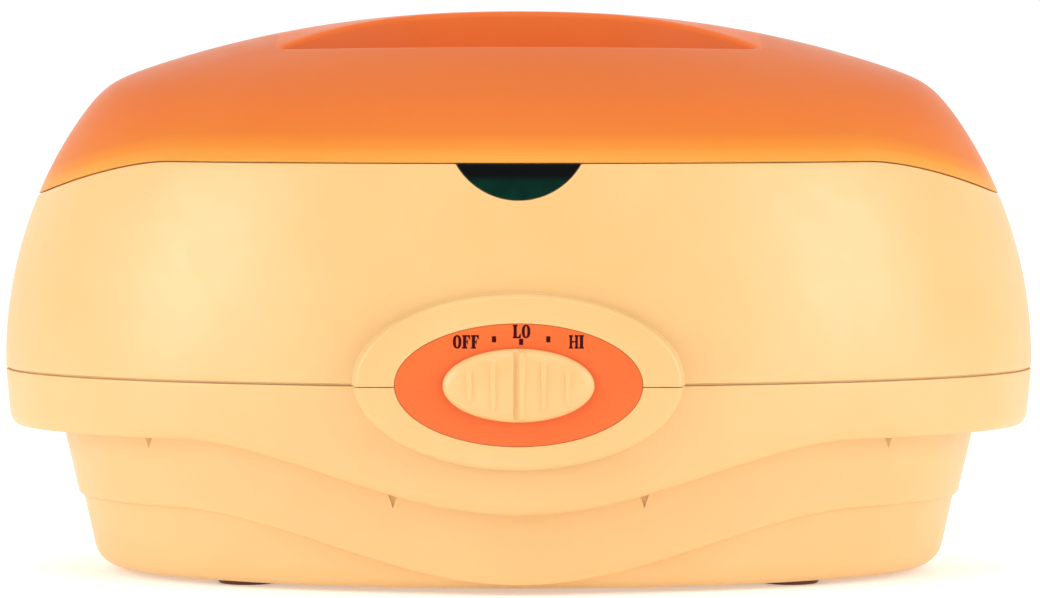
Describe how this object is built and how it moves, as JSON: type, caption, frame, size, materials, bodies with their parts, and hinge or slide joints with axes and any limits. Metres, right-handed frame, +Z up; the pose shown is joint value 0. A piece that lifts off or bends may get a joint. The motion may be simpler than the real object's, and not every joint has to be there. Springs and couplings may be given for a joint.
{
  "type": "paraffin wax warmer",
  "caption": "Oval tabletop wax bath: stepped cream housing, heated metal basin, lift-off translucent orange lid with a moulded grip, and a sliding heat control on the front.",
  "frame": {"origin": "centre of the object's footprint on the surface it stands on, under the feet", "axes": "+Z up, +X along the length to the right as seen from the front, the control faces -Y"},
  "size_m": [0.378, 0.255, 0.2059],
  "materials": {
    "housing_cream": "satin moulded, warm cream",
    "lid_orange": "glossy translucent orange",
    "bezel_orange": "satin orange",
    "lens_dark": "glossy smoked green, see-through",
    "basin_aluminium": "satin spun",
    "grid_plastic": "matt moulded",
    "zinc_steel": "zinc plated",
    "dark_rubber": "matt moulded",
    "seal_silicone": "matt silicone",
    "lead_sleeve": "braided sleeve",
    "felt_white": "needled fibre",
    "copper_tube": "drawn copper",
    "black_plastic": "matt moulded",
    "white_nylon": "matt moulded",
    "marking_ink": "printed, dark maroon"
  },
  "bodies": {
    "housing": {"basin": "basin_aluminium", "basin_gasket": "seal_silicone", "basin_stud": "zinc_steel", "bracket_screw_1": "zinc_steel", "bracket_screw_2": "zinc_steel", "bulb_clip": "zinc_steel", "capillary_tube": "copper_tube", "control_bezel": "bezel_orange", "cord_gland": "dark_rubber", "fuse_clip": "zinc_steel", "fuse_lead": "lead_sleeve", "heater_band": "seal_silicone", "heater_lead": "lead_sleeve", "heater_return": "lead_sleeve", "heater_strap": "zinc_steel", "housing_screw_1": "zinc_steel", "housing_screw_2": "zinc_steel", "housing_screw_3": "zinc_steel", "housing_screw_4": "zinc_steel", "indicator_lamp": "lens_dark", "indicator_lens": "lens_dark", "insulation_pad": "felt_white", "insulation_wrap": "felt_white", "lamp_holder": "black_plastic", "lamp_lead": "lead_sleeve", "lower_housing": "housing_cream", "rubber_foot_1": "dark_rubber", "rubber_foot_2": "dark_rubber", "rubber_foot_3": "dark_rubber", "rubber_foot_4": "dark_rubber", "sensor_bulb": "copper_tube", "stud_nut": "zinc_steel", "stud_washer": "zinc_steel", "supply_lead": "lead_sleeve", "terminal_block": "white_nylon", "thermal_fuse": "white_nylon", "thermostat_body": "zinc_steel", "thermostat_bracket": "zinc_steel", "upper_housing": "housing_cream"},
    "lid": {"lid": "lid_orange"},
    "grid": {"basin_grid": "grid_plastic"},
    "knob": {"control_knob": "housing_cream", "slider_rack": "white_nylon"},
    "shaft": {"thermostat_shaft": "zinc_steel", "thermostat_pinion": "white_nylon"}
  },
  "joints": [
    {"name": "lid_lift", "type": "slide", "parent": "housing", "child": "lid", "axis": [0, 0, 1], "range_m": [0, 0.14]},
    {"name": "grid_lift", "type": "slide", "parent": "housing", "child": "grid", "axis": [0, 0, 1], "range_m": [0, 0.078]},
    {"name": "knob_slide", "type": "slide", "parent": "housing", "child": "knob", "axis": [1, 0, 0], "range_m": [-0.0194, 0.0194]},
    {"name": "shaft_turn", "type": "hinge", "parent": "housing", "child": "shaft", "pos_m": [0, -0.1063, 0.058], "axis": [0, 1, 0], "range_deg": [-139, 139]}
  ],
  "couplings": [
    {"joint": "shaft_turn", "follows": "knob_slide", "rad_per_m": 125}
  ]
}
